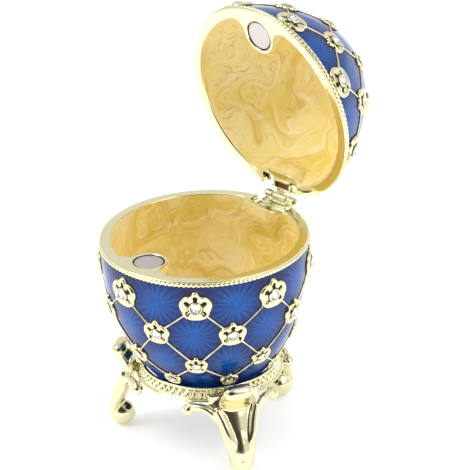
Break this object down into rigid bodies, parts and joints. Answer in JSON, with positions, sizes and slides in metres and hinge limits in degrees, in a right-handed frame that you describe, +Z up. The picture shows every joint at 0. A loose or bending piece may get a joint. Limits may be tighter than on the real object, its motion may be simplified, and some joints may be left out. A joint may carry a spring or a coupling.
{
  "type": "jewelled egg trinket box",
  "caption": "Egg-shaped trinket box with blue enamel, gilt trellis, stone-set flowers, a hinged magnetic lid and a small gilt tripod stand.",
  "frame": {"origin": "on the table, under the egg's upright axis, at the centre of the three feet", "axes": "+Z up along the egg's axis, the hinge towards +Y and the magnet catch towards -Y"},
  "size_m": [0.0474, 0.0688, 0.093],
  "materials": {
    "blue_enamel": "translucent cobalt blue enamel over a rayed gilt ground, high gloss; the hollows are coated in pearly golden yellow enamel",
    "gilt": "polished pale gold plate on cast pewter",
    "magnet_face": "dull nickel plate",
    "crystal": "clear cut crystal"
  },
  "bodies": {
    "base": {"tripod_stand": "gilt", "egg_bowl": "blue_enamel", "bowl_magnet": "magnet_face", "bowl_hinge_leaf": "gilt", "hinge_pin": "gilt", "bowl_crystal_upper_1": "crystal", "bowl_crystal_upper_2": "crystal", "bowl_crystal_upper_3": "crystal", "bowl_crystal_upper_4": "crystal", "bowl_crystal_upper_5": "crystal", "bowl_crystal_upper_6": "crystal", "bowl_crystal_upper_7": "crystal", "bowl_crystal_upper_8": "crystal", "bowl_crystal_middle_1": "crystal", "bowl_crystal_middle_2": "crystal", "bowl_crystal_middle_3": "crystal", "bowl_crystal_middle_4": "crystal", "bowl_crystal_middle_5": "crystal", "bowl_crystal_middle_6": "crystal", "bowl_crystal_middle_7": "crystal", "bowl_crystal_middle_8": "crystal", "bowl_crystal_lower_1": "crystal", "bowl_crystal_lower_2": "crystal", "bowl_crystal_lower_3": "crystal", "bowl_crystal_lower_4": "crystal", "bowl_crystal_lower_5": "crystal", "bowl_crystal_lower_6": "crystal", "bowl_crystal_lower_7": "crystal", "bowl_crystal_lower_8": "crystal"},
    "lid": {"egg_lid": "blue_enamel", "lid_magnet": "magnet_face", "lid_hinge_leaf": "gilt", "lid_crystal_lower_1": "crystal", "lid_crystal_lower_2": "crystal", "lid_crystal_lower_3": "crystal", "lid_crystal_lower_4": "crystal", "lid_crystal_lower_5": "crystal", "lid_crystal_lower_6": "crystal", "lid_crystal_lower_7": "crystal", "lid_crystal_lower_8": "crystal", "lid_crystal_middle_1": "crystal", "lid_crystal_middle_2": "crystal", "lid_crystal_middle_3": "crystal", "lid_crystal_middle_4": "crystal", "lid_crystal_middle_5": "crystal", "lid_crystal_middle_6": "crystal", "lid_crystal_middle_7": "crystal", "lid_crystal_middle_8": "crystal", "lid_crystal_upper_1": "crystal", "lid_crystal_upper_2": "crystal", "lid_crystal_upper_3": "crystal", "lid_crystal_upper_4": "crystal", "lid_crystal_upper_5": "crystal", "lid_crystal_upper_6": "crystal", "lid_crystal_upper_7": "crystal", "lid_crystal_upper_8": "crystal", "lid_crystal_crown": "crystal"}
  },
  "joints": [
    {"name": "lid_hinge", "type": "hinge", "parent": "base", "child": "lid", "pos_m": [0, 0.0236, 0.0471], "axis": [-1, 0, 0], "range_deg": [-82.5, 0]}
  ]
}
